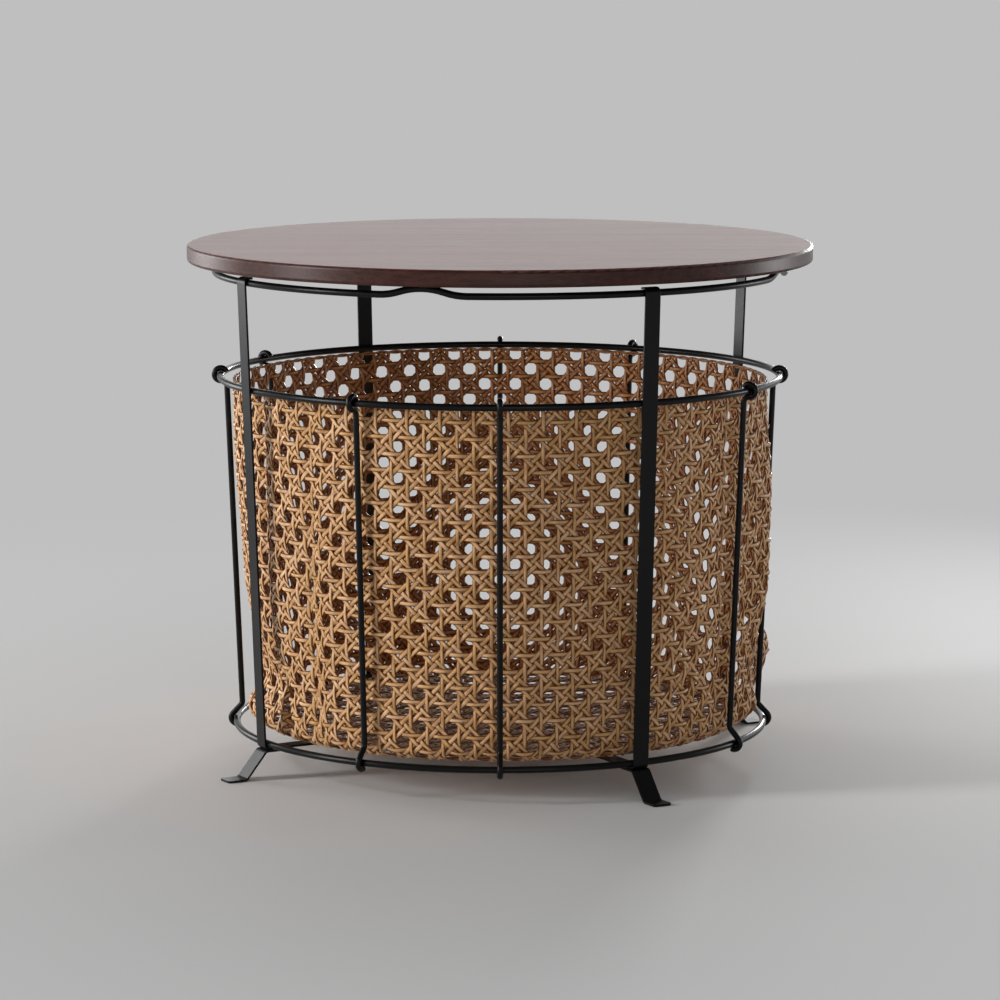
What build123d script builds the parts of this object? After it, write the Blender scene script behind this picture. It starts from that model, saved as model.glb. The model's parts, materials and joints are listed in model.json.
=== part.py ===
"""Round table with storage: a lift-off wooden top on a wire cage that holds a woven cane basket.

Millimetres, +Z up, origin on the floor under the middle of the table. The front faces -Y.
"""
import os
from math import cos, degrees, pi, radians, sin, sqrt, tan

from build123d import *

# Driving dimensions of the top
TOP_DIAMETER = 600.0
TOP_THICKNESS = 16.0
TOP_EDGE_ROUND = 3.0

# Driving dimensions of the three wire rings
RING_WIRE = 6.5
RIM_RADIUS = 269.0
RIM_HEIGHT = 369.3
BASE_HEIGHT = 33.0
TOP_RING_HEIGHT = 470.5
HUMP_RISE = 6.5
HUMP_SPAN = 84.0
CAGE_LEAN = 2.28

# Driving dimensions of the flat-bar legs and feet
BAR_THICKNESS = 2.0
BAR_EDGE_ROUND = 0.4
LEG_WIDTH = 16.0
FOOT_WIDTH = 19.0
FOOT_FLANGE = 26.0
FOOT_REACH = 21.0
FOOT_TOE = 19.0
FOOT_BEND = 5.0
FOOT_CORNER = 3.0

# Driving dimensions of the upright wires
UPRIGHT_WIRE = 5.6
UPRIGHT_BEND = 5.4
UPRIGHT_KICK = 45.0
TOP_HOOK_END = 155.0
BASE_HOOK_END = -110.0

# Driving dimensions of the basket
BASKET_WALL = 5.0
BASKET_CORNER = 15.0
BASKET_SIDE_CLEARANCE = 3.2
BASKET_BELOW_RIM = 1.3

# Driving dimensions of the openings in the basket's weave
WEAVE_OPENING = 9.5
WEAVE_ROW = 15.45
WEAVE_COLUMN = 15.8
WEAVE_FIRST_ROW = 6.8

# Driving dimensions of the locating buffers and their screws
BUFFER_DIAMETER = 12.0
BUFFER_HEIGHT = 6.0
SCREW_DIAMETER = 3.5
SCREW_HEAD = 6.8
SCREW_HEAD_SINK = 0.4
SCREW_BITE = 9.0

# Clearances
WELD_GAP = 0.1
SEAT_GAP = 0.3
LOCATING_CLEARANCE = 1.0
SCREW_CLEARANCE = 0.1
LACING_GAP = 0.2
STRIP_GAP = 0.1

# Directions round the table, in degrees from +X
LEG_ANGLES = {"front_right": -60.0, "back_right": 30.0, "back_left": 120.0, "front_left": 210.0}
UPRIGHT_ANGLES = {
    "front": -90.0,
    "front_right": -30.0,
    "right": 0.0,
    "back_right": 60.0,
    "back": 90.0,
    "back_left": 150.0,
    "left": 180.0,
    "front_left": 240.0,
}
HUMP_COUNT = 4
HUMP_ANGLE = -105.0
WEAVE_ANGLE = -90.0

# Lengths worked out from the driving dimensions
lean = radians(CAGE_LEAN)
ring_half = RING_WIRE / 2
bar_half = BAR_THICKNESS / 2
hook_radius = ring_half + UPRIGHT_WIRE / 2 + WELD_GAP

# Directions in a radial plane, in degrees from outwards
facing_up = 90.0
facing_in = 180.0
facing_down = -90.0


def ring_radius(height):
    """Radius of a ring's centreline at a height on the leaning cage."""
    return RIM_RADIUS + (height - RIM_HEIGHT) * tan(lean)


def leg_radius(height):
    """Radius of a leg's middle plane at a height: the leg stands against the outside of the rings."""
    return ring_radius(height) + (ring_half + WELD_GAP + bar_half) / cos(lean)


def upright_inner_radius(height):
    """Radius of the inner side of an upright wire at a height."""
    return ring_radius(height) - (UPRIGHT_BEND + UPRIGHT_WIRE / 2) / cos(lean)


top_ring_radius = ring_radius(TOP_RING_HEIGHT)
base_ring_radius = ring_radius(BASE_HEIGHT)
tab_height = TOP_RING_HEIGHT + ring_half + WELD_GAP + bar_half
strap_height = BASE_HEIGHT - ring_half - WELD_GAP - bar_half
flange_height = strap_height - BAR_THICKNESS - WELD_GAP
top_underside = TOP_RING_HEIGHT + HUMP_RISE + ring_half + SEAT_GAP
basket_bottom = strap_height + bar_half + SEAT_GAP
basket_top = RIM_HEIGHT - BASKET_BELOW_RIM
basket_seam = basket_bottom + BASKET_CORNER


def radial_plane(angle):
    """Upright plane through the table's axis: local X points outwards and local Y points up."""
    turn = radians(angle)
    return Plane(origin=(0, 0, 0), x_dir=(cos(turn), sin(turn), 0), z_dir=(sin(turn), -cos(turn), 0))


def hook_plane(angle):
    """The radial plane moved to the rim wire's centre and leaned with the cage."""
    turn = radians(angle)
    centre = (RIM_RADIUS * cos(turn), RIM_RADIUS * sin(turn), RIM_HEIGHT)
    outwards = (cos(lean) * cos(turn), cos(lean) * sin(turn), -sin(lean))
    return Plane(origin=centre, x_dir=outwards, z_dir=(sin(turn), -cos(turn), 0))


def save(piece, name):
    """Label a finished piece and write it to its own file."""
    piece.part.label = name
    export_step(piece.part, f"parts/{name}.step")


def ring(radius, height):
    """A plain closed ring of round wire."""
    with BuildPart() as piece:
        with BuildSketch(Plane.XZ):
            with Locations((radius, height)):
                Circle(ring_half)
        revolve(axis=Axis.Z)
    return piece


def ring_point(angle, height):
    """A point of the top ring's centreline."""
    turn = radians(angle)
    return Vector(top_ring_radius * cos(turn), top_ring_radius * sin(turn), height)


def ring_tangent(angle):
    """The level direction along the top ring."""
    turn = radians(angle)
    return Vector(-sin(turn), cos(turn), 0)


def biarc_joint(start, start_tangent, end, end_tangent):
    """The point where two arcs meet that leave start and reach end along the given tangents."""
    chord = end - start
    along = chord.dot(start_tangent + end_tangent)
    bend = 2 * (1 - start_tangent.dot(end_tangent))
    reach = (sqrt(along**2 + bend * chord.dot(chord)) - along) / bend
    return (start + end + (start_tangent - end_tangent) * reach) * 0.5


def top_ring_quarter():
    """A quarter of the top ring, from the top of one hump to the top of the next."""
    quarter_turn = 360.0 / HUMP_COUNT
    half_hump = degrees(HUMP_SPAN / 2 / top_ring_radius)
    stations = [
        (HUMP_ANGLE, TOP_RING_HEIGHT + HUMP_RISE),
        (HUMP_ANGLE + half_hump, TOP_RING_HEIGHT),
        (HUMP_ANGLE + quarter_turn - half_hump, TOP_RING_HEIGHT),
        (HUMP_ANGLE + quarter_turn, TOP_RING_HEIGHT + HUMP_RISE),
    ]
    with BuildPart() as piece:
        with BuildLine() as route:
            for (start_angle, start_height), (end_angle, end_height) in zip(stations, stations[1:]):
                start = ring_point(start_angle, start_height)
                end = ring_point(end_angle, end_height)
                start_tangent = ring_tangent(start_angle)
                end_tangent = ring_tangent(end_angle)
                joint = biarc_joint(start, start_tangent, end, end_tangent)
                TangentArc(start, joint, tangent=start_tangent)
                TangentArc(joint, end, tangent=-end_tangent, tangent_from_first=False)
        with BuildSketch(Plane(origin=route.line @ 0, z_dir=route.line % 0)):
            Circle(ring_half)
        sweep()
    return piece


def humped_ring():
    """The whole top ring, four quarters joined end to end."""
    quarter = top_ring_quarter()
    with BuildPart() as piece:
        with PolarLocations(0, HUMP_COUNT):
            add(quarter.part)
    return piece


def leg(angle):
    """A flat-bar leg: a tab over the top ring, the leaning bar and a strap to the table's middle."""
    plane = radial_plane(angle)
    turn = radians(angle)
    corners = [
        (top_ring_radius - ring_half, tab_height),
        (leg_radius(tab_height), tab_height),
        (leg_radius(strap_height), strap_height),
        (0, strap_height),
    ]
    with BuildPart() as piece:
        with BuildLine(plane) as route:
            FilletPolyline(*corners, radius=ring_half + bar_half)
        section = Plane(origin=route.line @ 0, x_dir=(-sin(turn), cos(turn), 0), z_dir=route.line % 0)
        with BuildSketch(section):
            RectangleRounded(LEG_WIDTH, BAR_THICKNESS, BAR_EDGE_ROUND)
        sweep()
        # The four strap ends meet in the middle on mitres, a weld gap apart.
        mitre = 180.0 / len(LEG_ANGLES)
        for side in (-mitre, mitre):
            cut = radians(angle + side)
            towards_leg = Vector(cos(cut), sin(cut), 0)
            split(bisect_by=Plane(origin=towards_leg * (WELD_GAP / 2), z_dir=towards_leg), keep=Keep.TOP)
    return piece


def foot(angle):
    """A foot of flat bar: a flange under the strap, a slope outwards and a flat toe on the floor."""
    turn = radians(angle)
    heel = leg_radius(strap_height)
    corners = [
        (heel - FOOT_FLANGE, flange_height),
        (heel, flange_height),
        (heel + FOOT_REACH, bar_half),
        (heel + FOOT_REACH + FOOT_TOE, bar_half),
    ]
    with BuildPart() as piece:
        with BuildLine(radial_plane(angle)) as route:
            FilletPolyline(*corners, radius=FOOT_BEND)
        section = Plane(origin=route.line @ 0, x_dir=(-sin(turn), cos(turn), 0), z_dir=route.line % 0)
        with BuildSketch(section):
            Rectangle(FOOT_WIDTH, BAR_THICKNESS)
        sweep()
        upright_edges = piece.edges().filter_by(Axis.Z)
        toe_edges = upright_edges.sort_by(Axis((0, 0, 0), (cos(turn), sin(turn), 0)))[-2:]
        fillet(toe_edges, FOOT_CORNER)
    return piece


def upright(angle):
    """An upright wire: hooked round the rim ring, straight down, and kicked out under the base ring."""
    kick = radians(UPRIGHT_KICK)
    cage_length = (RIM_HEIGHT - BASE_HEIGHT) / cos(lean)
    line_start = -(hook_radius + UPRIGHT_BEND)
    kick_rise = (hook_radius + UPRIGHT_BEND * cos(kick)) / sin(kick)
    kick_start = -cage_length + kick_rise + UPRIGHT_BEND * tan(kick / 2)
    kick_end = (UPRIGHT_BEND * -cos(kick), kick_start - UPRIGHT_BEND * sin(kick))
    slope_end = (hook_radius * cos(kick), -cage_length + hook_radius * sin(kick))
    with BuildPart() as piece:
        with BuildLine(hook_plane(angle)) as route:
            CenterArc((0, 0), hook_radius, TOP_HOOK_END, facing_down - TOP_HOOK_END)
            CenterArc((0, line_start), UPRIGHT_BEND, facing_up, facing_in - facing_up)
            Line((-UPRIGHT_BEND, line_start), (-UPRIGHT_BEND, kick_start))
            CenterArc((0, kick_start), UPRIGHT_BEND, facing_in, UPRIGHT_KICK)
            Line(kick_end, slope_end)
            CenterArc((0, -cage_length), hook_radius, UPRIGHT_KICK, BASE_HOOK_END - UPRIGHT_KICK)
        with BuildSketch(Plane(origin=route.line @ 0, z_dir=route.line % 0)):
            Circle(UPRIGHT_WIRE / 2)
        sweep()
    return piece


def basket_outer_radius(height):
    """Outside of the basket's wall, which leans with the uprights and stays clear of them."""
    return upright_inner_radius(height) - BASKET_SIDE_CLEARANCE


basket_edge_radius = basket_outer_radius(basket_bottom) - BASKET_CORNER


wall_foot = basket_seam + LACING_GAP
wall_slope = (basket_top - wall_foot) / cos(lean)
strip_count = round(pi * basket_outer_radius(basket_top) / WEAVE_COLUMN)
strip_half_turn = radians(180.0 / strip_count)
row_count = int((wall_slope - WEAVE_FIRST_ROW - WEAVE_OPENING / 2) / WEAVE_ROW) + 1


def opening_places():
    """Middles of a strip's openings on its own face: two columns, staggered by a row."""
    places = []
    for row in range(row_count):
        drop = WEAVE_FIRST_ROW + row * WEAVE_ROW
        half_width = basket_outer_radius(basket_top - drop * cos(lean)) * sin(strip_half_turn)
        side = -1 if row % 2 == 0 else 1
        places.append((side * half_width / 2, -drop))
    return places


def basket_strip():
    """A flat leaning strip of the basket's wall, two columns of the weave wide, facing +X."""
    flat_top = basket_outer_radius(basket_top) * cos(strip_half_turn)
    face = Plane(origin=(flat_top, 0, basket_top), x_dir=(0, 1, 0), z_dir=(cos(lean), 0, -sin(lean)))
    with BuildPart() as piece:
        with BuildSketch(face):
            with Locations((0, -wall_slope / 2)):
                Rectangle(4 * WEAVE_COLUMN, wall_slope + 2 * BASKET_WALL)
            with Locations(*opening_places()):
                Circle(WEAVE_OPENING / 2, mode=Mode.SUBTRACT)
        extrude(amount=-BASKET_WALL)
        # The sides are mitred to meet the next strips, and the ends are level.
        for side in (-1, 1):
            inwards = Vector(sin(strip_half_turn), side * cos(strip_half_turn), 0)
            split(bisect_by=Plane(origin=inwards * (STRIP_GAP / 2), z_dir=inwards), keep=Keep.TOP)
        split(bisect_by=Plane(origin=(0, 0, wall_foot), z_dir=(0, 0, 1)), keep=Keep.TOP)
        split(bisect_by=Plane(origin=(0, 0, basket_top), z_dir=(0, 0, -1)), keep=Keep.TOP)
    return piece


def basket_wall():
    """The basket's leaning wall, above its turned-in lower edge: a ring of strips with the weave's openings."""
    strip = basket_strip()
    with BuildPart() as piece:
        with PolarLocations(0, strip_count, WEAVE_ANGLE + degrees(strip_half_turn) / 2):
            add(strip.part)
    return piece


def basket_lower_edge():
    """The rounded edge that turns in from the basket's wall to its floor."""
    outer_seam = basket_outer_radius(basket_seam)
    outer_foot = basket_outer_radius(basket_bottom)
    inner_foot = outer_foot - BASKET_WALL
    inner_floor = basket_bottom + BASKET_WALL
    with BuildPart() as piece:
        with BuildSketch(Plane.XZ) as section:
            with BuildLine():
                Polyline(
                    (basket_edge_radius, basket_bottom),
                    (outer_foot, basket_bottom),
                    (outer_seam, basket_seam),
                    (outer_seam - BASKET_WALL, basket_seam),
                    (inner_foot, inner_floor),
                    (basket_edge_radius, inner_floor),
                    close=True,
                )
            make_face()
            outer_corner = section.vertices().sort_by_distance((outer_foot, basket_bottom))[0]
            fillet(outer_corner, BASKET_CORNER)
            inner_corner = section.vertices().sort_by_distance((inner_foot, inner_floor))[0]
            fillet(inner_corner, BASKET_CORNER - BASKET_WALL)
        revolve(axis=Axis.Z)
    return piece


def basket_floor():
    """The basket's flat floor, inside the turned-in lower edge."""
    with BuildPart() as piece:
        with BuildSketch(Plane.XY.offset(basket_bottom)):
            Circle(basket_edge_radius - LACING_GAP)
        extrude(amount=BASKET_WALL)
    return piece


buffer_circle = top_ring_radius - ring_half - LOCATING_CLEARANCE - BUFFER_DIAMETER / 2
buffer_bottom = top_underside - BUFFER_HEIGHT
screw_seat = buffer_bottom + SCREW_HEAD_SINK
screw_head_height = (SCREW_HEAD - SCREW_DIAMETER) / 2


def buffer_places():
    """One place beside each hump, just inside the top ring."""
    return PolarLocations(buffer_circle, HUMP_COUNT, HUMP_ANGLE)


def tabletop():
    """The round wooden top with blind pilot holes for the buffer screws."""
    with BuildPart() as piece:
        with BuildSketch(Plane.XY.offset(top_underside)):
            Circle(TOP_DIAMETER / 2)
        extrude(amount=TOP_THICKNESS)
        fillet(piece.edges(), TOP_EDGE_ROUND)
        with BuildSketch(Plane.XY.offset(top_underside)):
            with buffer_places():
                Circle(SCREW_DIAMETER / 2 + SCREW_CLEARANCE)
        extrude(amount=SCREW_BITE + SCREW_CLEARANCE, mode=Mode.SUBTRACT)
    return piece


def locating_buffers():
    """Four rubber buffers, each drilled and countersunk for its screw."""
    with BuildPart() as piece:
        with BuildSketch(Plane.XY.offset(buffer_bottom)):
            with buffer_places():
                Circle(BUFFER_DIAMETER / 2)
                Circle(SCREW_DIAMETER / 2 + SCREW_CLEARANCE, mode=Mode.SUBTRACT)
        extrude(amount=BUFFER_HEIGHT)
        sink_depth = SCREW_HEAD_SINK + screw_head_height
        with Locations(Plane.XY.offset(buffer_bottom + sink_depth / 2)):
            with buffer_places():
                Cone(
                    SCREW_HEAD / 2 + SCREW_CLEARANCE + SCREW_HEAD_SINK,
                    SCREW_DIAMETER / 2 + SCREW_CLEARANCE,
                    sink_depth,
                    mode=Mode.SUBTRACT,
                )
    return piece


def buffer_screws():
    """Four countersunk wood screws that hold the buffers to the top."""
    shank_bottom = screw_seat + screw_head_height
    with BuildPart() as piece:
        with Locations(Plane.XY.offset(screw_seat + screw_head_height / 2)):
            with buffer_places():
                Cone(SCREW_HEAD / 2, SCREW_DIAMETER / 2, screw_head_height)
        with BuildSketch(Plane.XY.offset(shank_bottom)):
            with buffer_places():
                Circle(SCREW_DIAMETER / 2)
        extrude(amount=top_underside + SCREW_BITE - shank_bottom)
    return piece


os.makedirs("parts", exist_ok=True)
save(tabletop(), "tabletop")
save(locating_buffers(), "locating_buffers")
save(buffer_screws(), "buffer_screws")
save(humped_ring(), "top_ring")
save(ring(RIM_RADIUS, RIM_HEIGHT), "rim_ring")
save(ring(base_ring_radius, BASE_HEIGHT), "base_ring")
for place, direction in LEG_ANGLES.items():
    save(leg(direction), f"leg_{place}")
    save(foot(direction), f"foot_{place}")
for place, direction in UPRIGHT_ANGLES.items():
    save(upright(direction), f"upright_{place}")
save(basket_wall(), "basket_wall")
save(basket_lower_edge(), "basket_lower_edge")
save(basket_floor(), "basket_floor")
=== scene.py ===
# Looks of the round coffee table with storage: finishes, woven basket, floor, light and camera.
import json
import math

import bpy
import numpy as np
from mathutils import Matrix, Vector


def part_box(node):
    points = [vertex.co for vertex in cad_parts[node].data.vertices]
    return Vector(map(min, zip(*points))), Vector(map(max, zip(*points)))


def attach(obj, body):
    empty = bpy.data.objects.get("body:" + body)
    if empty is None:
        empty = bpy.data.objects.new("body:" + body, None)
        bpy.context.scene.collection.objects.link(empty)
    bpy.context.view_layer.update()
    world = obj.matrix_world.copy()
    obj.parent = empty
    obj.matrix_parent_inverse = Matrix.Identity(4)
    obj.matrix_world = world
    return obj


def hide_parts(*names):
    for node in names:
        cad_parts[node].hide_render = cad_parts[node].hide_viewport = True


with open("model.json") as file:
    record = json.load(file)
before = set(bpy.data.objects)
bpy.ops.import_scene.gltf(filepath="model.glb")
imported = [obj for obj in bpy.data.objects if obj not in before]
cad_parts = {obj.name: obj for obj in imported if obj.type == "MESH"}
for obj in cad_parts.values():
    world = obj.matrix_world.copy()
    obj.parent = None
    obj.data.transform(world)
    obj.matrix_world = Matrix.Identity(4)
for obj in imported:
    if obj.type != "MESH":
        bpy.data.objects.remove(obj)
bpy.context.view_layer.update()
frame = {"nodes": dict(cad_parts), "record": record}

RANDOM_SEED = 11
random = np.random.default_rng(RANDOM_SEED)

# Camera of the photograph
CAMERA_PLACE = (0.0, -4.2477, 0.8532)
CAMERA_PITCH = 0.1418
CAMERA_LENS = 159.63
CAMERA_SENSOR = 36.0
CAMERA_REACH = 200.0

# Weave of the basket
CELL = 0.01545
COLUMNS = 102
UPRIGHT_WIDTH = 0.0040
LEVEL_WIDTH = 0.0043
PAIR_WIDTH = 0.0048
STRAND_THICKNESS = 0.0019
STRAND_SIDES = 6
PAIR_SPACING = 0.0052
LEVEL_LIFT = 0.0019
UPRIGHT_LIFT = 0.0011
PAIR_LIFT = 0.0009
WEAVE_MARGIN = 0.0002
STRAND_WANDER = 0.014
STRAND_ROLL = 0.25
ROLL_LENGTHS = (0.020, 0.045)
ROW_SHIFT = -0.59
SINGLE_STATIONS = (0.0, 0.17, 0.33, 0.5, 0.67, 0.83)
PAIR_STATIONS = (-0.5, -0.32, -0.2, -0.1, 0.0, 0.1, 0.2, 0.32)
STATION_GAP = 0.04
SHORTEST_HALF = 1.0
LAST_LEVEL_GAP = 0.2
WIDTH_SPREAD = (0.92, 1.08)
GRAIN_RUN = 40.0
WALL_SECTORS = 2

# Rounded foot of the woven wall, and the rise of the soft floor from its middle to its edge
FOOT_BEND = 0.020
FOOT_RISE = 0.0038
DISH_START = 0.10

# Twisted cords that finish the basket's rim and join its wall to its floor
BORDER_DROP = 0.0022
BORDER_TWIST = 0.0009
BORDER_THICKNESS = 0.0022
BORDER_STATIONS = 8

# Creases of the soft wall: direction from the front towards +X in degrees, depth, half width,
# and the turn and the depth at the foot
CREASES = (
    (-62.5, 0.0040, 0.006, 6.0, 0.0130),
    (-44.0, 0.0030, 0.009, 0.0, 0.0030),
    (58.0, 0.0045, 0.009, 0.0, 0.0045),
)
CREASE_TURN_HEIGHT = 0.13
CREASE_TURN_RUN = 0.08
# Dents and bulges: direction, height, rise, half width in degrees and half height
BULGES = (
    (-88.0, 0.290, 0.0020, 16.0, 0.050),
    (-90.0, 0.096, -0.0142, 24.0, 0.050),
    (-79.0, 0.054, 0.0088, 9.0, 0.016),
    (-66.0, 0.085, -0.0100, 9.0, 0.024),
    (-47.0, 0.220, 0.0022, 8.0, 0.100),
    (45.0, 0.220, 0.0022, 8.0, 0.100),
    (79.0, 0.264, 0.0103, 7.5, 0.064),
    (79.0, 0.172, 0.0130, 7.5, 0.058),
    (80.0, 0.050, 0.0075, 7.0, 0.016),
    (101.0, 0.093, 0.0235, 7.0, 0.036),
)
# Bands where the weave is squeezed together: direction, share lost, half width in degrees
# and the height it fades at
SQUEEZES = (
    (-44.2, 0.66, 4.0, 0.32),
)
SQUEEZE_REACH = 18.0
# Part of the wall where the weave has been pulled out of line: directions, and the shifts in cells
UNEVEN_START = 28.0
UNEVEN_RUN = 20.0
UNEVEN_END = 108.0
UNEVEN_ROWS = (1.0, 21.0)
UNEVEN_ROW_RUN = 3.0
COLUMN_SHIFT = 0.09
ROW_SHIFT_UNEVEN = 0.08
SECOND_WAVE = 0.7
# Slight ripple all round the wall, and the distances over which the shifts fade
RIPPLE_DEPTH = 0.0012
RIPPLE_TURNS = 5.0
RIPPLE_START = 0.6
RIPPLE_RISE = 19.0
RIPPLE_TWIST = 2.0
SAG_FADE = 0.020
SQUEEZE_RUN = 0.12
SLOPE_STEP = 0.002

# Floor with a raised rim far away; its tone turns even between two distances from the object
FLOOR_RADIUS = 30.0
FLOOR_SIDES = 96
FLOOR_DROP = 0.0002
FLOOR_TONE = (0.80, 0.80, 0.80)
FLOOR_ROUGHNESS = 0.7
BACKDROP_RUN = 1.0
BACKDROP_HEIGHT = 6.0
EVEN_TONE = (0.52, 0.52, 0.52)
EVEN_START = 0.40
EVEN_END = 1.8

# Surround and soft lights: name, place, target, width and height, and power in watts
SURROUND_TONE = (0.60, 0.60, 0.60)
SURROUND_STRENGTH = 0.26
BASKET_MIDDLE = (0.0, 0.0, 0.28)
TOP_MIDDLE = (0.0, 0.0, 0.5)
LIGHTS = (
    ("key_left", (-3.55, -0.97, 1.2), BASKET_MIDDLE, (0.7, 2.2), 92.0),
    ("fill_front", (0.5, -3.6, 0.95), BASKET_MIDDLE, (1.8, 0.9), 10.5),
    ("back_low", (1.7, 5.5, 1.5), TOP_MIDDLE, (7.5, 2.3), 68.0),
    ("right_back", (2.4, 1.0, 0.45), BASKET_MIDDLE, (0.6, 0.6), 10.5),
    ("left_back", (-2.3, 1.7, 0.7), BASKET_MIDDLE, (1.2, 1.2), 24.0),
    ("ring_right", (1.0, 3.4, 0.65), BASKET_MIDDLE, (0.5, 0.5), 36.0),
)


# Node materials

class Surface:
    """A node material with short helpers for its links."""

    def __init__(self, name, base, roughness):
        self.material = bpy.data.materials.new(name)
        self.material.use_nodes = True
        self.nodes = self.material.node_tree.nodes
        self.shader = self.nodes["Principled BSDF"]
        self.shader.inputs["Base Color"].default_value = (*base, 1.0)
        self.shader.inputs["Roughness"].default_value = roughness

    def link(self, source, target):
        self.material.node_tree.links.new(source, target)

    def attribute(self, name):
        """A value stored on the points of the mesh."""
        node = self.nodes.new("ShaderNodeAttribute")
        node.attribute_name = name
        return node.outputs

    def reckon(self, operation, *values):
        """One math operation on node values."""
        node = self.nodes.new("ShaderNodeMath")
        node.operation = operation
        for value, socket in zip(values, node.inputs):
            self.link(value, socket)
        return node.outputs["Value"]

    def coordinates(self, scale, attribute=None, rotation=(0.0, 0.0, 0.0)):
        """Object coordinates, or a stored point attribute, stretched and turned."""
        mapping = self.nodes.new("ShaderNodeMapping")
        mapping.inputs["Scale"].default_value = scale
        mapping.inputs["Rotation"].default_value = rotation
        if attribute:
            self.link(self.attribute(attribute)["Vector"], mapping.inputs["Vector"])
        else:
            source = self.nodes.new("ShaderNodeTexCoord")
            self.link(source.outputs["Object"], mapping.inputs["Vector"])
        return mapping.outputs["Vector"]

    def noise(self, vector, scale, detail=3.0, distortion=0.0):
        node = self.nodes.new("ShaderNodeTexNoise")
        node.inputs["Scale"].default_value = scale
        node.inputs["Detail"].default_value = detail
        node.inputs["Distortion"].default_value = distortion
        self.link(vector, node.inputs["Vector"])
        return node.outputs["Fac"]

    def ramp(self, value, *stops):
        """Colours or greys at their places along a value."""
        node = self.nodes.new("ShaderNodeValToRGB")
        elements = node.color_ramp.elements
        while len(elements) < len(stops):
            elements.new(1.0)
        for element, (place, colour) in zip(elements, stops):
            element.position = place
            element.color = (*colour, 1.0) if isinstance(colour, tuple) else (colour, colour, colour, 1.0)
        self.link(value, node.inputs["Fac"])
        return node.outputs["Color"]

    def mix(self, blend, factor, first, second):
        """Two colours mixed; the factor is a number or another node's value."""
        node = self.nodes.new("ShaderNodeMix")
        node.data_type = "RGBA"
        node.blend_type = blend
        if isinstance(factor, float):
            node.inputs["Factor"].default_value = factor
        else:
            self.link(factor, node.inputs["Factor"])
        self.link(first, node.inputs["A"])
        self.link(second, node.inputs["B"])
        return node.outputs["Result"]

    def colour(self, value):
        self.link(value, self.shader.inputs["Base Color"])

    def roughness(self, value, low, high):
        node = self.nodes.new("ShaderNodeMapRange")
        node.inputs["To Min"].default_value = low
        node.inputs["To Max"].default_value = high
        self.link(value, node.inputs["Value"])
        self.link(node.outputs["Result"], self.shader.inputs["Roughness"])

    def bump(self, value, strength, distance):
        node = self.nodes.new("ShaderNodeBump")
        node.inputs["Strength"].default_value = strength
        node.inputs["Distance"].default_value = distance
        self.link(value, node.inputs["Height"])
        self.link(node.outputs["Normal"], self.shader.inputs["Normal"])


def stained_wood():
    """Dark stained wood with streaks, pores and a satin lacquer; the grain runs along X."""
    surface = Surface("stained_wood", (0.24, 0.115, 0.090), 0.36)
    slant = (0.0, math.radians(14.0), math.radians(2.0))
    figure = surface.noise(surface.coordinates((1.6, 17.0, 17.0), rotation=slant), 2.0, 4.0, 0.6)
    streaks = surface.noise(surface.coordinates((4.0, 120.0, 120.0), rotation=slant), 2.5, 4.0)
    pores = surface.noise(surface.coordinates((40.0, 900.0, 900.0), rotation=slant), 1.5, 2.0)
    broad = surface.ramp(figure, (0.30, (0.150, 0.056, 0.044)), (0.72, (0.460, 0.180, 0.150)))
    fine = surface.ramp(streaks, (0.30, (0.130, 0.047, 0.036)), (0.70, (0.530, 0.213, 0.178)))
    pore_shade = surface.ramp(pores, (0.36, 0.45), (0.50, 1.0))
    wood = surface.mix("MIX", 0.55, broad, fine)
    wood = surface.mix("MULTIPLY", 0.8, wood, pore_shade)
    # Painted shade: faces whose normal turns away from up, the sides and the underside, are darkened against
    # the top
    facing = surface.nodes.new("ShaderNodeSeparateXYZ")
    surface.link(surface.nodes.new("ShaderNodeNewGeometry").outputs["Normal"], facing.inputs["Vector"])
    painted_side_shade = surface.ramp(facing.outputs["Z"], (0.70, (0.20, 0.155, 0.130)), (0.98, (1.0, 1.0, 1.0)))
    surface.colour(surface.mix("MULTIPLY", 1.0, wood, painted_side_shade))
    surface.shader.inputs["Specular IOR Level"].default_value = 0.29
    surface.roughness(streaks, 0.30, 0.44)
    surface.bump(pores, 0.12, 0.0003)
    return surface.material


def black_steel():
    """Satin black powder coat with a fine orange-peel skin."""
    surface = Surface("black_steel", (0.004, 0.004, 0.0043), 0.34)
    place = surface.coordinates((1.0, 1.0, 1.0))
    peel = surface.noise(place, 1400.0, 2.0)
    cloud = surface.noise(place, 60.0, 3.0)
    surface.colour(surface.ramp(cloud, (0.3, (0.0026, 0.0026, 0.0028)), (0.7, (0.0044, 0.0044, 0.0047))))
    surface.shader.inputs["Specular IOR Level"].default_value = 0.20
    surface.roughness(cloud, 0.27, 0.36)
    surface.bump(peel, 0.10, 0.0002)
    return surface.material


def buffer_rubber():
    """Matt black rubber."""
    surface = Surface("buffer_rubber", (0.02, 0.02, 0.02), 0.75)
    grain = surface.noise(surface.coordinates((1.0, 1.0, 1.0)), 900.0, 3.0)
    surface.colour(surface.ramp(grain, (0.3, (0.016, 0.016, 0.016)), (0.7, (0.027, 0.027, 0.027))))
    surface.roughness(grain, 0.68, 0.82)
    surface.bump(grain, 0.2, 0.0002)
    return surface.material


def screw_steel():
    """Zinc-plated steel with a faint mottle."""
    surface = Surface("screw_steel", (0.60, 0.60, 0.62), 0.35)
    surface.shader.inputs["Metallic"].default_value = 1.0
    mottle = surface.noise(surface.coordinates((1.0, 1.0, 1.0)), 1200.0, 3.0)
    surface.colour(surface.ramp(mottle, (0.3, (0.50, 0.50, 0.51)), (0.7, (0.68, 0.68, 0.70))))
    surface.roughness(mottle, 0.28, 0.45)
    return surface.material


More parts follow.
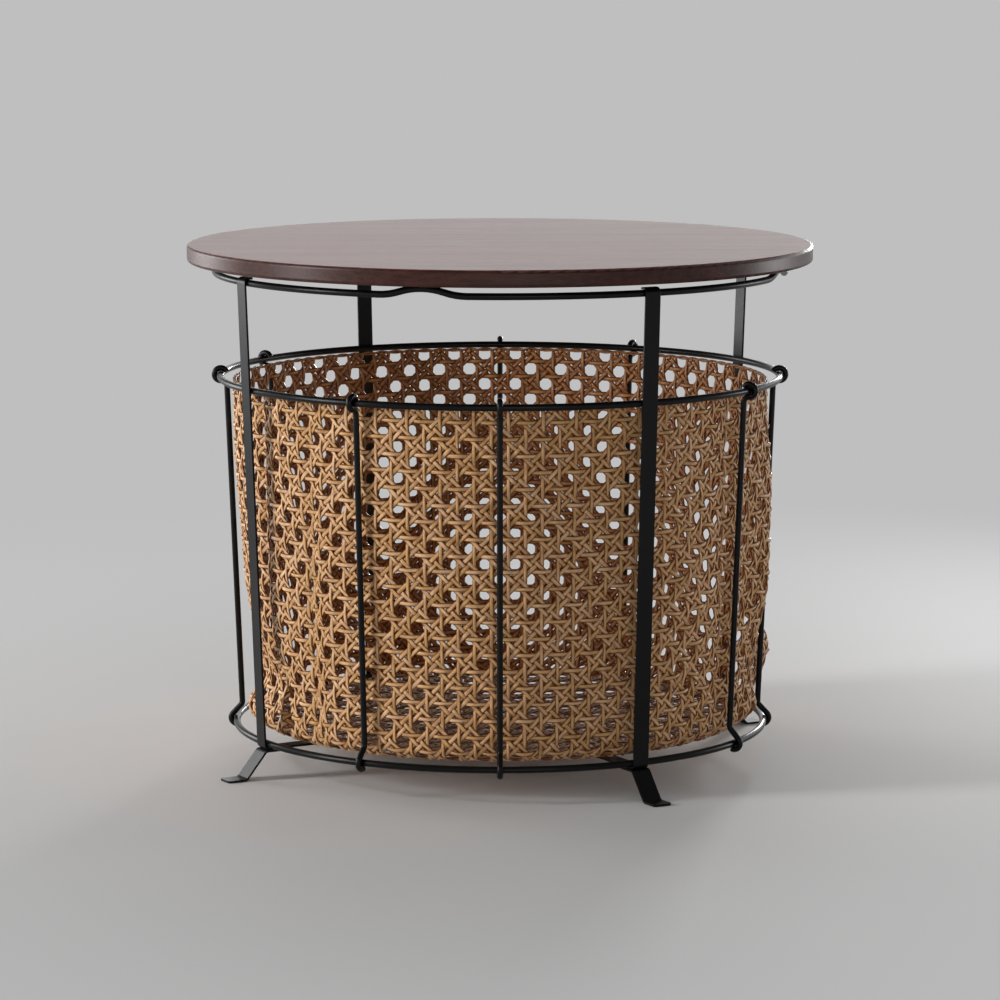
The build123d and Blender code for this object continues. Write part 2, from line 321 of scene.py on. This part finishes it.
def peeled_cane(name, painted_inside_shade, middle, painted_sheen):
    """Peeled cane: fibres along each strand, strands of differing tone, painted shade on the strand edges, on
    their inner side and where they dive under others, and a painted pale sheen.
    """
    surface = Surface(name, (0.66, 0.44, 0.24), 0.45)
    fibres = surface.noise(surface.coordinates((1.0, 1.0, 0.035), "grain"), 1900.0, 3.0)
    patches = surface.noise(surface.coordinates((1.0, 1.0, 1.0), "grain"), 70.0, 3.0)
    tone = surface.attribute("tone")["Fac"]
    depth = surface.attribute("depth")["Fac"]
    strands = surface.ramp(
        tone,
        (0.0, (0.78, 0.475, 0.200)),
        (0.35, (0.86, 0.540, 0.265)),
        (0.70, (0.92, 0.592, 0.328)),
        (1.0, (0.96, 0.648, 0.385)),
    )
    # Painted reflection: a pale greyish tone mixed into the strands stands in for the glossy sheen seen at
    # grazing angles; the floor cane takes most of it, the wall cane none
    painted_sheen_tone = surface.ramp(tone, (0.0, (0.84, 0.72, 0.60)), (1.0, (0.95, 0.86, 0.77)))
    strands = surface.mix("MIX", painted_sheen, strands, painted_sheen_tone)
    blotches = surface.ramp(
        patches,
        (0.32, (0.62, 0.52, 0.43)),
        (0.50, (0.93, 0.89, 0.85)),
        (0.70, (1.0, 1.0, 1.0)),
    )
    lines = surface.ramp(fibres, (0.33, (0.70, 0.60, 0.50)), (0.58, (1.0, 1.0, 1.0)))
    level = surface.nodes.new("ShaderNodeMapRange")
    level.inputs["From Min"].default_value = -1.0
    level.inputs["From Max"].default_value = 1.0
    surface.link(depth, level.inputs["Value"])
    # Painted shade: strands darken where they dive under others (the middle colour) and on their inner side
    # (the inside colour), standing in for the shade deep in the weave
    painted_depth_shade = surface.ramp(
        level.outputs["Result"],
        (0.12, painted_inside_shade),
        (0.38, middle),
        (0.66, (1.0, 1.0, 1.0)),
    )
    # Painted shade: each strand darkens towards its two edges, as the sides of a rounded strand fall into
    # shade
    section = surface.nodes.new("ShaderNodeSeparateXYZ")
    surface.link(surface.coordinates((2.0 / LEVEL_WIDTH, 1.0, 1.0), "grain"), section.inputs["Vector"])
    painted_edge_shade = surface.ramp(
        surface.reckon("ABSOLUTE", section.outputs["X"]),
        (0.40, (1.0, 1.0, 1.0)),
        (0.70, (0.62, 0.47, 0.35)),
        (0.92, (0.20, 0.10, 0.05)),
    )
    cane = surface.mix("MULTIPLY", 0.85, strands, blotches)
    cane = surface.mix("MULTIPLY", 0.75, cane, lines)
    cane = surface.mix("MULTIPLY", 1.0, cane, painted_edge_shade)
    surface.colour(surface.mix("MULTIPLY", 1.0, cane, painted_depth_shade))
    surface.shader.inputs["Specular IOR Level"].default_value = 0.28
    surface.roughness(fibres, 0.46, 0.30)
    surface.bump(fibres, 0.25, 0.0003)
    return surface.material


# Finishes of the CAD nodes

def finish_nodes(cane):
    """Gives every CAD node the node material of its record slot."""
    made = {
        "top_wood": stained_wood(),
        "black_steel": black_steel(),
        "buffer_rubber": buffer_rubber(),
        "screw_steel": screw_steel(),
        "cane": cane,
    }
    for entry in frame["record"]["subparts"]:
        node = frame["nodes"][entry["node"]]
        if not node.data.materials:
            node.data.materials.append(None)
        for place in range(len(node.data.materials)):
            node.data.materials[place] = made[entry["material_slot"]]


# Shape of the basket's middle surface

wall_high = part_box("basket_wall")[1]
edge_low, edge_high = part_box("basket_lower_edge")
floor_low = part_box("basket_floor")[0]
weave_inset = LEVEL_LIFT + STRAND_THICKNESS / 2 + WEAVE_MARGIN
lean = math.atan((wall_high.x - edge_high.x) / (wall_high.z - edge_high.z))
bend_radius = FOOT_BEND - weave_inset
bend_turn = math.pi / 2 - lean
bend_height = edge_low.z + FOOT_RISE + FOOT_BEND
bend_middle = edge_high.x + (bend_height - edge_high.z) * math.tan(lean) - FOOT_BEND / math.cos(lean)
rim_radius = wall_high.x - weave_inset / math.cos(lean)
rim_height = wall_high.z
straight_length = (rim_height - bend_height + bend_radius * math.sin(lean)) / math.cos(lean)
wall_length = straight_length + bend_radius * bend_turn
floor_height = floor_low.z + weave_inset
foot_height = floor_height + FOOT_RISE
floor_radius = bend_middle
pair_offset = PAIR_SPACING / 2 / math.sqrt(2.0) / CELL


def unit(vectors):
    return vectors / np.linalg.norm(vectors, axis=-1, keepdims=True)


def smooth_step(value):
    value = np.clip(value, 0.0, 1.0)
    return value * value * (3.0 - 2.0 * value)


def half_turn(angle):
    """The same angle between minus and plus half a turn."""
    return (angle + math.pi) % (2.0 * math.pi) - math.pi


def sag(angle, height):
    """How far the soft wall stands out or in from its even cone."""
    turn = angle + math.pi / 2
    round_wave = np.sin(RIPPLE_TURNS * turn + RIPPLE_START)
    rise_wave = np.sin(RIPPLE_RISE * height + RIPPLE_TWIST * np.sin(turn))
    moved = RIPPLE_DEPTH * round_wave * rise_wave
    low = smooth_step((CREASE_TURN_HEIGHT - height) / CREASE_TURN_RUN)
    for direction, depth, half_width, swing, foot_depth in CREASES:
        away = half_turn(turn - np.radians(direction + swing * low))
        inwards = depth + (foot_depth - depth) * low
        moved = moved - inwards * np.exp(-((away * rim_radius / half_width) ** 2))
    for direction, place, rise, half_angle, half_height in BULGES:
        away = half_turn(turn - math.radians(direction))
        across = (away / math.radians(half_angle)) ** 2
        along = ((height - place) / half_height) ** 2
        moved = moved + rise * np.exp(-across - along)
    return moved * smooth_step((height - foot_height) / SAG_FADE)


def squeezed(turn, height):
    """Directions on the wall after some bands are drawn together and their surroundings are stretched."""
    moved = 0.0 * turn
    for direction, share, half_width, fade in SQUEEZES:
        middle = math.radians(direction)
        half = math.radians(half_width)
        strength = share * half * smooth_step((fade - height) / SQUEEZE_RUN)
        away = half_turn(turn - middle)
        moved = moved - strength * np.tanh(away / half) * np.exp(-((away / math.radians(SQUEEZE_REACH)) ** 2))
    return turn + moved


def two_waves(first, second):
    return np.sin(first) + SECOND_WAVE * np.sin(second)


def uneven(column, row):
    """Cells of the weave shifted out of line in one part of the wall; its rim and its foot stay in place."""
    turn = (column * 360.0 / COLUMNS + 180.0) % 360.0 - 180.0
    share = smooth_step((turn - UNEVEN_START) / UNEVEN_RUN) * smooth_step((UNEVEN_END - turn) / UNEVEN_RUN)
    first, last = UNEVEN_ROWS
    share = share * smooth_step((row - first) / UNEVEN_ROW_RUN) * smooth_step((last - row) / UNEVEN_ROW_RUN)
    across = COLUMN_SHIFT * two_waves(2.1 * row + 1.3 * column, 0.9 * row - 2.3 * column + 1.0)
    along = ROW_SHIFT_UNEVEN * two_waves(1.9 * column - 1.1 * row, 1.2 * column + 2.2 * row + 2.0)
    return column + share * across, row + share * along


def wall_surface(column, row, lift):
    """Points and normals of the wall: columns run round it, rows from the rim down and in to the floor."""
    column, row = uneven(column, row)
    down = (row + ROW_SHIFT) * CELL
    run = np.minimum(down, straight_length)
    dip = lean + np.clip((down - straight_length) / bend_radius, 0.0, bend_turn)
    straight = down < straight_length
    radius = np.where(
        straight,
        rim_radius - run * math.sin(lean),
        bend_middle + bend_radius * np.cos(dip),
    )
    height = np.where(
        straight,
        rim_height - run * math.cos(lean),
        bend_height - bend_radius * np.sin(dip),
    )
    turn = column * 2.0 * math.pi / COLUMNS
    angle = squeezed(turn, height) - math.pi / 2
    turn_slope = (sag(angle + SLOPE_STEP, height) - sag(angle - SLOPE_STEP, height)) / (2.0 * SLOPE_STEP)
    rise_slope = (sag(angle, height + SLOPE_STEP) - sag(angle, height - SLOPE_STEP)) / (2.0 * SLOPE_STEP)
    radius = radius + sag(angle, height)
    outward = np.stack((np.cos(angle), np.sin(angle), 0.0 * angle), axis=-1)
    sideways = np.stack((-np.sin(angle), np.cos(angle), 0.0 * angle), axis=-1)
    upward = np.array((0.0, 0.0, 1.0))
    normals = unit(
        outward * np.cos(dip)[:, None]
        - sideways * (turn_slope / radius)[:, None]
        - upward * (np.sin(dip) + rise_slope)[:, None]
    )
    points = outward * radius[:, None] + upward * height[:, None] + normals * lift[:, None]
    return points, normals


def floor_surface(column, row, lift):
    """Points and normals of the floor, which is lowest in the middle; its outer side faces down."""
    reach = np.hypot(column, row) * CELL
    dish = FOOT_RISE * smooth_step((reach - DISH_START) / (floor_radius - DISH_START))
    points = np.stack((column * CELL, row * CELL, floor_height + dish - lift), axis=-1)
    normals = np.zeros_like(points)
    normals[:, 2] = -1.0
    return points, normals


# Strands

def strand(points, normals, lift, width, closed=False, thickness=STRAND_THICKNESS):
    """A flattened tube along points: its vertices, quads, tone, grain coordinates and depth in the weave."""
    if closed:
        tangents = unit(np.roll(points, -1, axis=0) - np.roll(points, 1, axis=0))
    else:
        tangents = unit(np.gradient(points, axis=0))
    level_side = unit(np.cross(tangents, normals))
    level_up = np.cross(level_side, tangents)
    steps = np.linalg.norm(np.diff(points, axis=0), axis=-1)
    run = np.concatenate(([0.0], np.cumsum(steps)))
    waves = max(1.0, np.round(run[-1] / random.uniform(*ROLL_LENGTHS)))
    roll = STRAND_ROLL * np.sin(2.0 * math.pi * (waves * run / run[-1] + random.uniform(0.0, 1.0)))[:, None]
    side = level_side * np.cos(roll) + level_up * np.sin(roll)
    up = level_up * np.cos(roll) - level_side * np.sin(roll)
    turn = np.arange(STRAND_SIDES) * 2.0 * math.pi / STRAND_SIDES
    swell = random.uniform(*WIDTH_SPREAD)
    across = np.cos(turn) * width * swell / 2
    through = np.sin(turn) * thickness / 2
    vertices = points[:, None] + side[:, None] * across[:, None] + up[:, None] * through[:, None]
    rings = len(points)
    index = np.arange(rings * STRAND_SIDES).reshape(rings, STRAND_SIDES)
    here = index if closed else index[:-1]
    ahead = np.roll(index, -1, axis=0) if closed else index[1:]
    quads = np.stack((here, ahead, np.roll(ahead, -1, axis=1), np.roll(here, -1, axis=1)), axis=-1)
    quads = quads.reshape(-1, 4)
    if not closed:
        first = index[0]
        last = index[-1]
        caps = [first[[0, 1, 2, 3]], first[[0, 3, 4, 5]], last[[3, 2, 1, 0]], last[[5, 4, 3, 0]]]
        quads = np.concatenate((quads, caps))
    along = run + random.uniform(0.0, GRAIN_RUN)
    grain = np.zeros((rings, STRAND_SIDES, 3))
    grain[:, :, 0] = np.cos(turn) * LEVEL_WIDTH / 2
    grain[:, :, 1] = through
    grain[:, :, 2] = along[:, None]
    tone = np.full(rings * STRAND_SIDES, random.uniform(0.0, 1.0))
    depth = (lift[:, None] + through) / weave_inset
    return vertices.reshape(-1, 3), quads, tone, grain.reshape(-1, 3), depth.ravel()


def stations(low, high, offsets):
    """Places along a strand: the offsets in every cell between two ends, and the ends."""
    cells = np.arange(math.floor(low) - 1, math.ceil(high) + 2)
    places = np.sort((cells[:, None] + np.array(offsets)).ravel())
    inside = places[(places > low + STATION_GAP) & (places < high - STATION_GAP)]
    return np.concatenate(([low], inside, [high]))


def alternate(index):
    return 1.0 if index % 2 == 0 else -1.0


def crossing_lift(place, side):
    """Rise and fall of a paired strand over and under the two strands it meets in the middle of a cell."""
    reach = (place - np.round(place)) / pair_offset
    return side * PAIR_LIFT * reach * np.exp((1.0 - reach**2) / 2.0)


def single_lift(place):
    """Rise and fall of a single strand over and under the others, from -1 to 1."""
    return np.sin(math.pi * place)


def upright_strand(surface, index, low, high):
    row = stations(low, high, SINGLE_STATIONS)
    column = index + 0.5 + random.normal(0.0, STRAND_WANDER) + 0.0 * row
    lift = -alternate(index) * UPRIGHT_LIFT * single_lift(row)
    return strand(*surface(column, row, lift), lift, UPRIGHT_WIDTH)


def level_strand(surface, index, low, high, closed=False):
    column = stations(low, high, SINGLE_STATIONS)
    if closed:
        column = column[:-1]
    row = index + 0.5 + random.normal(0.0, STRAND_WANDER) + 0.0 * column
    lift = alternate(index) * LEVEL_LIFT * single_lift(column)
    return strand(*surface(column, row, lift), lift, LEVEL_WIDTH, closed)


def slanted_strand(surface, slope, start, side, low, high):
    """One strand of a diagonal pair: slope 1 falls towards +column and slope -1 towards -column."""
    place = stations(low, high, PAIR_STATIONS)
    wander = pair_offset * side + random.normal(0.0, STRAND_WANDER / 2)
    column = start + slope * place + (wander if slope < 0 else -wander)
    row = place + wander
    lift = crossing_lift(place, -side if slope > 0 else side)
    return strand(*surface(column, row, lift), lift, PAIR_WIDTH)


def store(mesh, name, kind, field, values):
    """Keeps a value for every point of a mesh."""
    attribute = mesh.attributes.new(name, kind, "POINT")
    attribute.data.foreach_set(field, np.concatenate(values).astype(np.float32).ravel())


def weave_piece(name, strands, node, cane):
    """Joins strands into one piece that stands for a CAD node of the basket."""
    counts = [len(vertices) for vertices, *_ in strands]
    shifts = np.concatenate(([0], np.cumsum(counts)[:-1]))
    vertices = np.concatenate([entry[0] for entry in strands]).astype(np.float32)
    quads = np.concatenate([entry[1] + shift for entry, shift in zip(strands, shifts)]).astype(np.int32)
    mesh = bpy.data.meshes.new(name)
    mesh.vertices.add(len(vertices))
    mesh.vertices.foreach_set("co", vertices.ravel())
    mesh.loops.add(quads.size)
    mesh.loops.foreach_set("vertex_index", quads.ravel())
    mesh.polygons.add(len(quads))
    mesh.polygons.foreach_set("loop_start", np.arange(0, quads.size, 4, dtype=np.int32))
    mesh.update(calc_edges=True)
    mesh.validate()
    mesh.shade_smooth()
    store(mesh, "tone", "FLOAT", "value", [entry[2] for entry in strands])
    store(mesh, "grain", "FLOAT_VECTOR", "vector", [entry[3] for entry in strands])
    store(mesh, "depth", "FLOAT", "value", [entry[4] for entry in strands])
    mesh.materials.append(cane)
    piece = bpy.data.objects.new(name, mesh)
    bpy.context.scene.collection.objects.link(piece)
    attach(piece, "basket")
    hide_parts(*node)


def twisted_border(radius, height, inward, phase):
    """One of two strands that twist round each other along a circle."""
    count = COLUMNS * BORDER_STATIONS
    angle = np.arange(count) * 2.0 * math.pi / count
    twist = angle * COLUMNS / 2 + phase
    reach = radius + sag(angle, height + 0.0 * angle) + BORDER_TWIST * np.cos(twist)
    rise = height + BORDER_TWIST * np.sin(twist)
    points = np.stack((reach * np.cos(angle), reach * np.sin(angle), rise), axis=-1)
    upward = np.full(count, 1.0 - abs(inward))
    normals = np.stack((inward * np.cos(angle), inward * np.sin(angle), upward), axis=-1)
    return strand(points, normals, 0.0 * angle, BORDER_THICKNESS, True, BORDER_THICKNESS)


def weave_wall(cane):
    """The basket's wall: upright and level strands, and a pair of strands on each diagonal."""
    first = BORDER_DROP / CELL - ROW_SHIFT
    last = wall_length / CELL - ROW_SHIFT
    wall = ("basket_wall", "basket_lower_edge")
    uprights = [upright_strand(wall_surface, index, first, last) for index in range(COLUMNS)]
    weave_piece("cane_wall_uprights", uprights, wall, cane)
    levels = [
        level_strand(wall_surface, index, 0.0, float(COLUMNS), closed=True)
        for index in range(1, int(last - LAST_LEVEL_GAP))
    ]
    for phase in (0.0, math.pi):
        levels.append(twisted_border(rim_radius, rim_height - BORDER_DROP, 1.0, phase))
        levels.append(twisted_border(floor_radius, foot_height, 0.0, phase))
    weave_piece("cane_wall_levels", levels, wall, cane)
    sectors = np.array_split(np.arange(0, COLUMNS, 2), WALL_SECTORS)
    for slope, word in ((1, "falling"), (-1, "rising")):
        for number, starts in enumerate(sectors, 1):
            slanted = [
                slanted_strand(wall_surface, slope, start, side, first + pair_offset, last - pair_offset)
                for start in starts
                for side in (1, -1)
            ]
            weave_piece(f"cane_wall_{word}_{number}", slanted, wall, cane)


def weave_floor(cane):
    """The basket's floor: the same weave on a flat disc."""
    reach = floor_radius / CELL
    edge = int(reach - 0.5)
    singles = []
    for index in range(-edge - 1, edge + 1):
        half = math.sqrt(max(reach**2 - (index + 0.5) ** 2, 0.0))
        if half > SHORTEST_HALF:
            singles.append(upright_strand(floor_surface, index, -half, half))
            singles.append(level_strand(floor_surface, index, -half, half))
    weave_piece("cane_floor_singles", singles, ("basket_floor",), cane)
    pairs = []
    widest = int(reach * math.sqrt(2.0) / 2.0)
    for slope in (1, -1):
        for start in range(-2 * widest, 2 * widest + 1, 2):
            half = math.sqrt(max(2.0 * reach**2 - start**2, 0.0)) / 2.0
            if half > SHORTEST_HALF:
                middle = -slope * start / 2.0
                low = middle - half
                high = middle + half
                for side in (1, -1):
                    pairs.append(slanted_strand(floor_surface, slope, start, side, low, high))
    weave_piece("cane_floor_pairs", pairs, ("basket_floor",), cane)


# Floor, light and camera

def floor_finish():
    """A pale matt floor that turns to one even tone away from the object, also in reflections."""
    surface = Surface("studio_floor", FLOOR_TONE, FLOOR_ROUGHNESS)
    even = surface.nodes.new("ShaderNodeEmission")
    even.inputs["Color"].default_value = (*EVEN_TONE, 1.0)
    place = surface.nodes.new("ShaderNodeTexCoord")
    distance = surface.nodes.new("ShaderNodeVectorMath")
    distance.operation = "LENGTH"
    surface.link(place.outputs["Object"], distance.inputs[0])
    far = surface.nodes.new("ShaderNodeMapRange")
    far.interpolation_type = "SMOOTHSTEP"
    far.inputs["From Min"].default_value = EVEN_START
    far.inputs["From Max"].default_value = EVEN_END
    surface.link(distance.outputs["Value"], far.inputs["Value"])
    path = surface.nodes.new("ShaderNodeLightPath").outputs
    seen = surface.reckon("MAXIMUM", path["Is Camera Ray"], path["Is Glossy Ray"])
    seen = surface.reckon("MAXIMUM", seen, path["Is Transmission Ray"])
    mixed = surface.nodes.new("ShaderNodeMixShader")
    surface.link(surface.reckon("MULTIPLY", seen, far.outputs["Result"]), mixed.inputs["Fac"])
    surface.link(surface.shader.outputs["BSDF"], mixed.inputs[1])
    surface.link(even.outputs["Emission"], mixed.inputs[2])
    surface.link(mixed.outputs["Shader"], surface.nodes["Material Output"].inputs["Surface"])
    return surface.material


def studio_floor():
    """A large pale floor that keeps the object's shadow, with a raised rim far away."""
    points = []
    floor_edge = (FLOOR_RADIUS, -FLOOR_DROP)
    rim_edge = (FLOOR_RADIUS + BACKDROP_RUN, BACKDROP_HEIGHT)
    for radius, height in (floor_edge, rim_edge):
        for step in range(FLOOR_SIDES):
            turn = 2.0 * math.pi * step / FLOOR_SIDES
            points.append((radius * math.cos(turn), radius * math.sin(turn), height))
    faces = [list(range(FLOOR_SIDES))]
    for step in range(FLOOR_SIDES):
        following = (step + 1) % FLOOR_SIDES
        faces.append([step, FLOOR_SIDES + step, FLOOR_SIDES + following, following])
    mesh = bpy.data.meshes.new("studio_floor")
    mesh.from_pydata(points, [], faces)
    mesh.materials.append(floor_finish())
    floor = bpy.data.objects.new("studio_floor", mesh)
    bpy.context.scene.collection.objects.link(floor)


def soft_light(name, place, target, size, power):
    """A rectangular soft light that faces a point and isn't itself in the picture."""
    lamp = bpy.data.lights.new(name, "AREA")
    lamp.shape = "RECTANGLE"
    lamp.size, lamp.size_y = size
    lamp.energy = power
    holder = bpy.data.objects.new(name, lamp)
    holder.location = place
    holder.rotation_euler = (Vector(target) - Vector(place)).to_track_quat("-Z", "Y").to_euler()
    holder.visible_camera = False
    bpy.context.scene.collection.objects.link(holder)


def studio_light():
    """A dim pale surround, a tall light from the left, a weak one from the front and four from behind."""
    world = bpy.data.worlds.new("studio")
    world.use_nodes = True
    surround = world.node_tree.nodes["Background"]
    surround.inputs["Color"].default_value = (*SURROUND_TONE, 1.0)
    surround.inputs["Strength"].default_value = SURROUND_STRENGTH
    bpy.context.scene.world = world
    for light in LIGHTS:
        soft_light(*light)


def photo_camera():
    """The camera at the photograph's place and angle."""
    camera = bpy.data.cameras.new("photo_camera")
    camera.lens = CAMERA_LENS
    camera.sensor_width = CAMERA_SENSOR
    camera.clip_end = CAMERA_REACH
    holder = bpy.data.objects.new("photo_camera", camera)
    holder.location = CAMERA_PLACE
    holder.rotation_euler = (math.pi / 2 - CAMERA_PITCH, 0.0, 0.0)
    bpy.context.scene.collection.objects.link(holder)
    bpy.context.scene.camera = holder


bpy.context.scene.view_settings.view_transform = "Standard"
photo_camera()
studio_floor()
studio_light()
# The inside and middle colours are painted shade in the weave's depth; the mix towards a pale tone is a
# painted sheen
wall_cane = peeled_cane("wall_cane", painted_inside_shade=(0.96, 0.82, 0.73), middle=(0.62, 0.44, 0.32), painted_sheen=0.0)
floor_cane = peeled_cane("floor_cane", painted_inside_shade=(1.0, 0.97, 0.95), middle=(0.80, 0.72, 0.66), painted_sheen=0.8)
finish_nodes(wall_cane)
weave_wall(wall_cane)
weave_floor(floor_cane)
